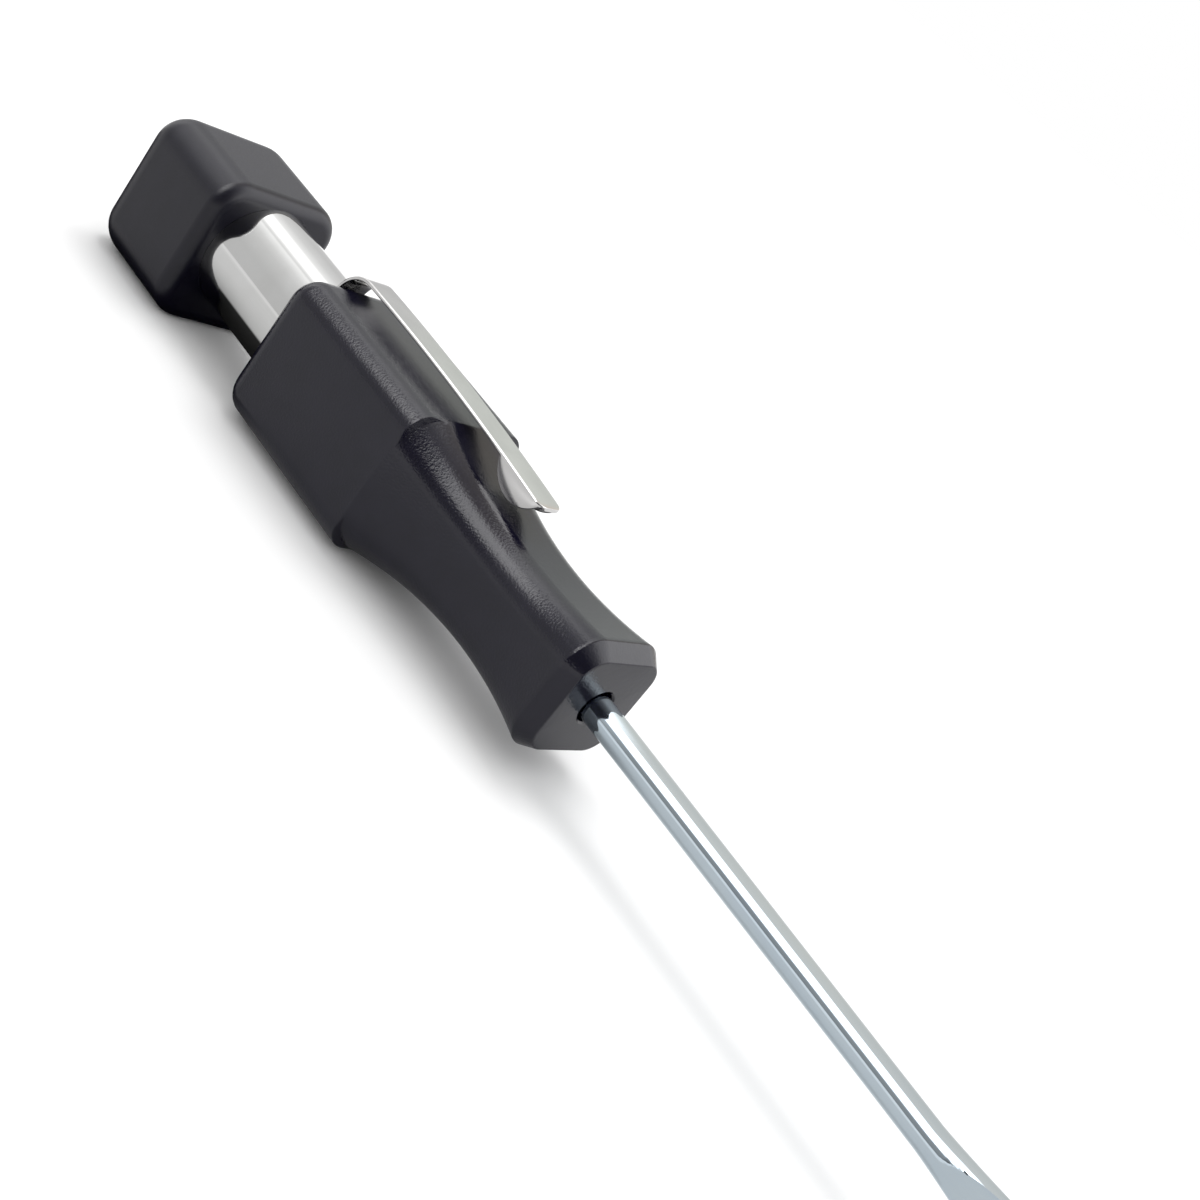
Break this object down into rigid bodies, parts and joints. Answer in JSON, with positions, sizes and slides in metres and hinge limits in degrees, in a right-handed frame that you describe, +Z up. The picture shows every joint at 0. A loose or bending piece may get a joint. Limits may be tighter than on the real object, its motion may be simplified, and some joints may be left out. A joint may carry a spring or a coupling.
{
  "type": "pocket pry bar",
  "caption": "Pocket pry bar: square anodised aluminium handle with a waist, chromed neck under a rounded strike cap, sprung pocket clip, and a round steel shank flattened into a pry blade.",
  "frame": {"origin": "bottom centre of the bounding box, on the plane that the strike cap's underside rests on", "axes": "+X along the tool towards the pry tip, +Z up on the pocket clip's side"},
  "size_m": [0.1536, 0.0172, 0.0191],
  "materials": {
    "anodised_handle": "black anodised, bead-blasted, satin",
    "anodised_cap": "black anodised, smooth satin",
    "chromed_core": "polished",
    "chromed_clip": "polished spring steel",
    "zinc_shank": "bright zinc plate",
    "pin_steel": "plain"
  },
  "bodies": {
    "tool": {"handle_body": "anodised_handle", "strike_core": "chromed_core", "strike_cap": "anodised_cap", "pry_shank": "zinc_shank", "shank_pin": "pin_steel"},
    "clip": {"pocket_clip": "chromed_clip"}
  },
  "joints": [
    {"name": "clip_flex", "type": "hinge", "parent": "tool", "child": "clip", "pos_m": [-0.0473, 0, 0.016], "axis": [0, -1, 0], "range_deg": [0, 3.5], "stiffness_Nm_per_rad": 0.18}
  ]
}
